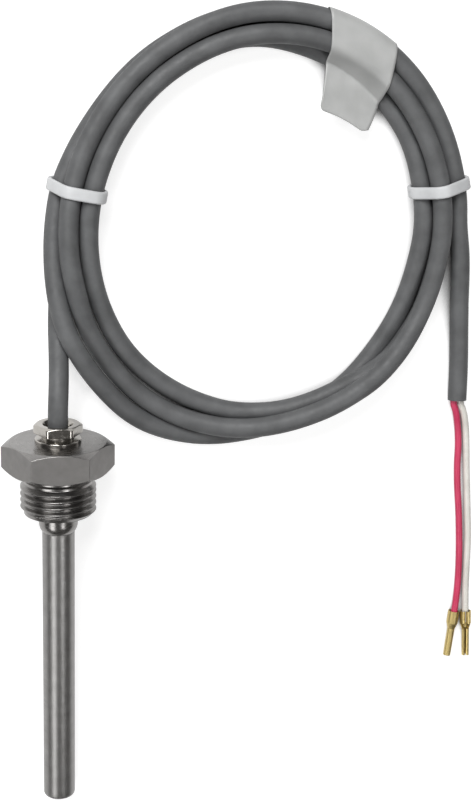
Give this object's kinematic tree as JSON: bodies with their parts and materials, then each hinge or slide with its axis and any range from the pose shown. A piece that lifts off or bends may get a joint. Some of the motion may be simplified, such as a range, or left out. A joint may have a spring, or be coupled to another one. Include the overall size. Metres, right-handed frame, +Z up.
{
  "type": "screw-in cable rtd temperature probe",
  "caption": "Resistance temperature probe: immersion tube with a hexagon head, pipe thread and cable gland, on a coiled two-core cable with crimp contacts.",
  "frame": {"origin": "on the surface that the probe lies on, under the middle of the box round the rigid probe, without its cable", "axes": "+Y along the probe from the tip toward the cable, seen from above; +Z up; the coiled cable lies toward +X and +Y"},
  "size_m": [0.1394, 0.225, 0.0276],
  "materials": {
    "head_steel": "turned stainless steel, satin",
    "tube_steel": "drawn stainless steel tube, fine grinding round the tube",
    "gland_nickel": "nickel plated brass, bright",
    "seal_rubber": "matt black rubber",
    "washer_brass": "plain brass",
    "capsule_steel": "drawn stainless steel capsule",
    "potting_resin": "set ceramic putty",
    "element_ceramic": "matt white ceramic",
    "lead_silver": "bright bare wire",
    "splice_brass": "tinned sleeve",
    "core_red": "soft PVC insulation, slight gloss",
    "core_white": "soft PVC insulation, slight gloss",
    "cable_grey": "grey PVC jacket, satin",
    "contact_brass": "stamped and rolled brass strip",
    "tie_white": "off-white plastic coated tie wire",
    "label_film": "thin grey film, bare"
  },
  "bodies": {
    "root": {"well_head": "head_steel", "well_tube": "tube_steel", "well_tip": "tube_steel", "gland_body": "gland_nickel", "gland_seal": "seal_rubber", "gland_washer": "washer_brass", "gland_screw": "gland_nickel", "sensor_capsule": "capsule_steel", "capsule_potting": "potting_resin", "rtd_element": "element_ceramic", "lead_red": "lead_silver", "lead_white": "lead_silver", "splice_red": "splice_brass", "splice_white": "splice_brass", "core_red_inner": "core_red", "core_white_inner": "core_white", "cable_inner": "cable_grey", "cable_lead": "cable_grey", "cable_coil": "cable_grey", "cable_tail": "cable_grey", "core_red": "core_red", "core_white": "core_white", "contact_red": "contact_brass", "contact_white": "contact_brass", "tie_left": "tie_white", "tie_right": "tie_white", "label_flag": "label_film"}
  },
  "joints": []
}
